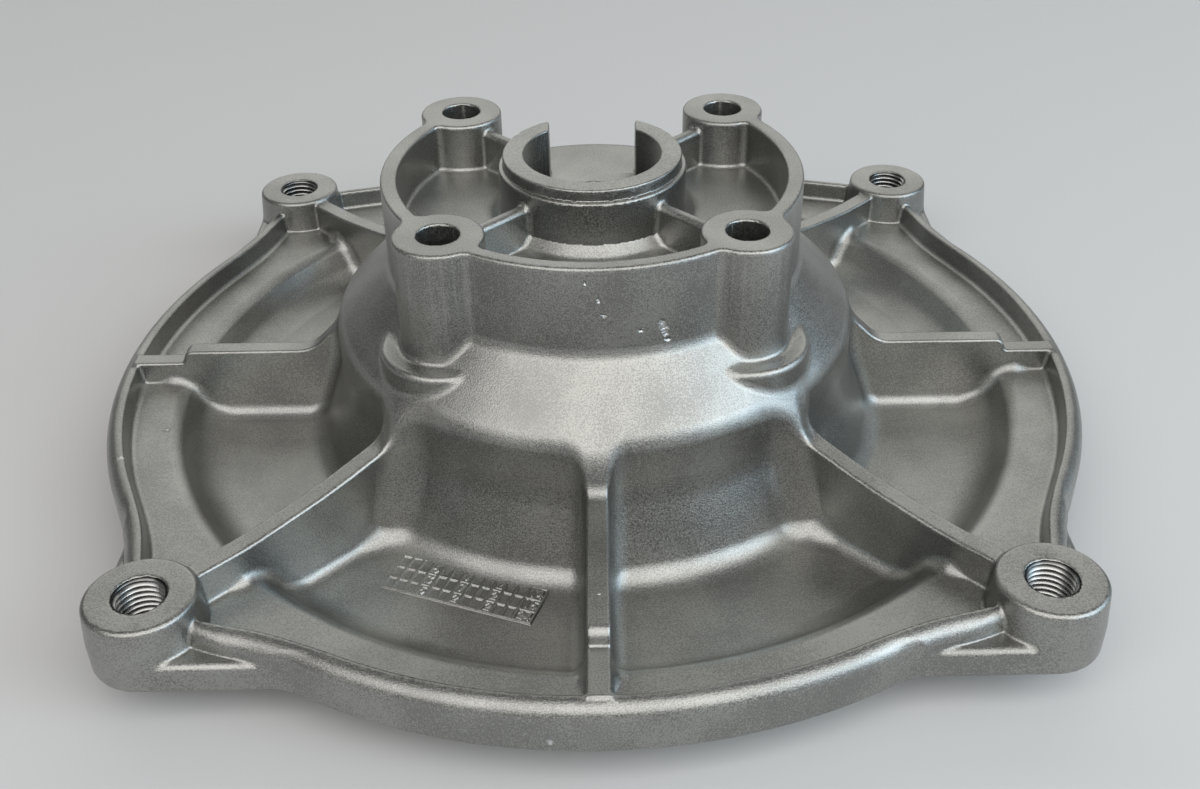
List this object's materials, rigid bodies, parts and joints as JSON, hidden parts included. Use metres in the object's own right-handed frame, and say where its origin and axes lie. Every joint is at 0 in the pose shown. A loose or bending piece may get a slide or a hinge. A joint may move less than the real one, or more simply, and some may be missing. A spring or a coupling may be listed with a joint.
{
  "type": "pump casing cover",
  "caption": "Die-cast metal cover for a pump casing: ribbed round dish on a plate with corner ears, raised hub with a bolted flange ring and a slotted bearing ring.",
  "frame": {"origin": "on the pump axis, in the face that lies on the casing", "axes": "+Z along the pump axis, away from the casing; -Y along the front rib, +Y through the slot of the bearing ring; +X to the right of the front rib"},
  "size_m": [0.2248, 0.2248, 0.0718],
  "materials": {
    "cast_metal": "as-cast and tumbled, satin, with machined faces"
  },
  "bodies": {
    "root": {"casing_cover": "cast_metal"}
  },
  "joints": []
}
